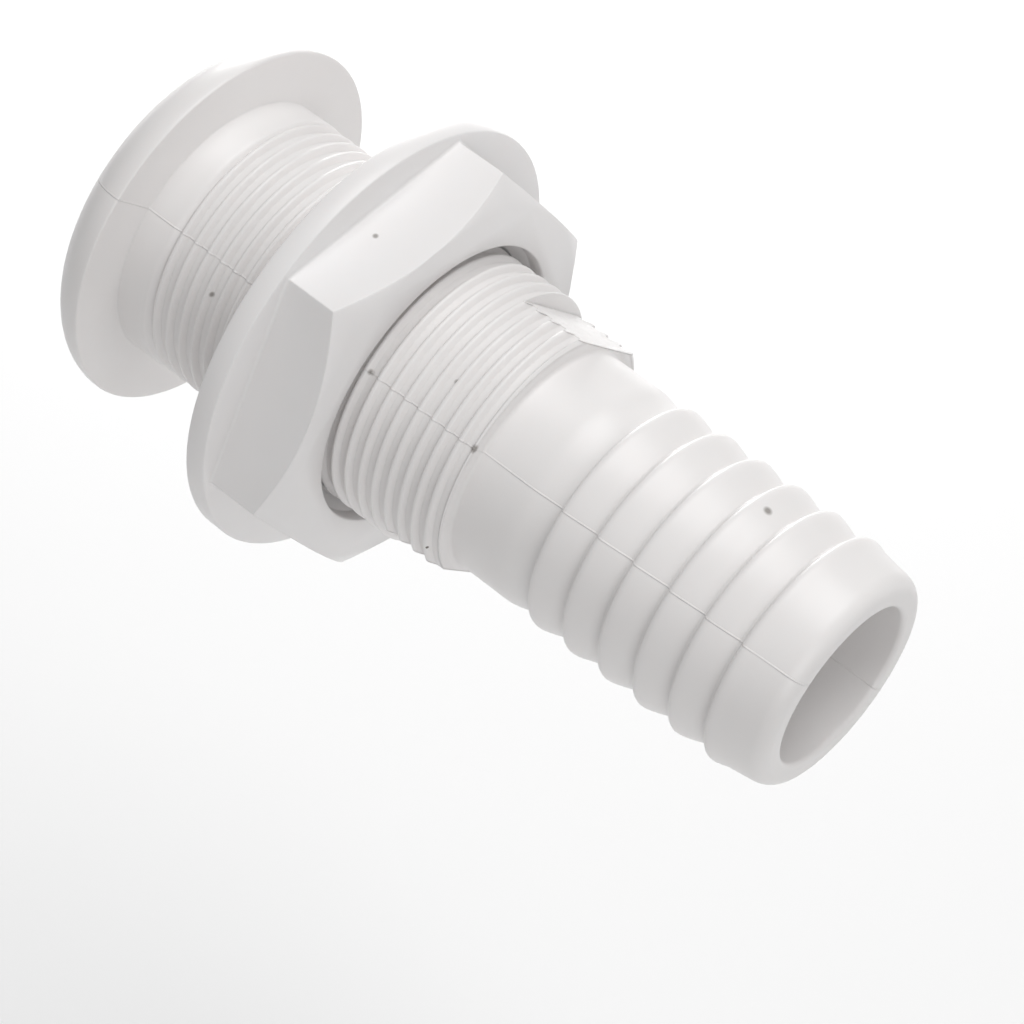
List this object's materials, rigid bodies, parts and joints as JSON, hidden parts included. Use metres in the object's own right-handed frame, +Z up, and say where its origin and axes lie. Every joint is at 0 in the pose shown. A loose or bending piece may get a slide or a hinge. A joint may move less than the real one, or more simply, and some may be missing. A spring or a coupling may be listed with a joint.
{
  "type": "thru hull fitting",
  "caption": "Straight plastic thru hull: mushroom-headed threaded tube with a barbed hose tail and a flanged hexagonal backing nut that screws along the thread.",
  "frame": {"origin": "centre of the head's flat sealing face, on the waterway's axis", "axes": "+X along the waterway from the head to the hose tail, +Z up, as fitted through a vertical hull side"},
  "size_m": [0.1422, 0.0782, 0.0782],
  "materials": {
    "moulded_body": "white injection-moulded nylon, satin",
    "moulded_nut": "white injection-moulded nylon, satin"
  },
  "bodies": {
    "fitting": {"body": "moulded_body"},
    "lead": {"nut_lead": "moulded_nut"},
    "backing_nut": {"nut": "moulded_nut"}
  },
  "joints": [
    {"name": "nut_travel", "type": "slide", "parent": "fitting", "child": "lead", "axis": [1, 0, 0], "range_m": [-0.0227, 0.0255]},
    {"name": "nut_turn", "type": "hinge", "parent": "lead", "child": "backing_nut", "pos_m": [0, 0, 0], "axis": [1, 0, 0], "range_deg": [-2880, 3240]}
  ],
  "couplings": [
    {"joint": "nut_travel", "follows": "nut_turn", "m_per_rad": 0.00044917}
  ]
}
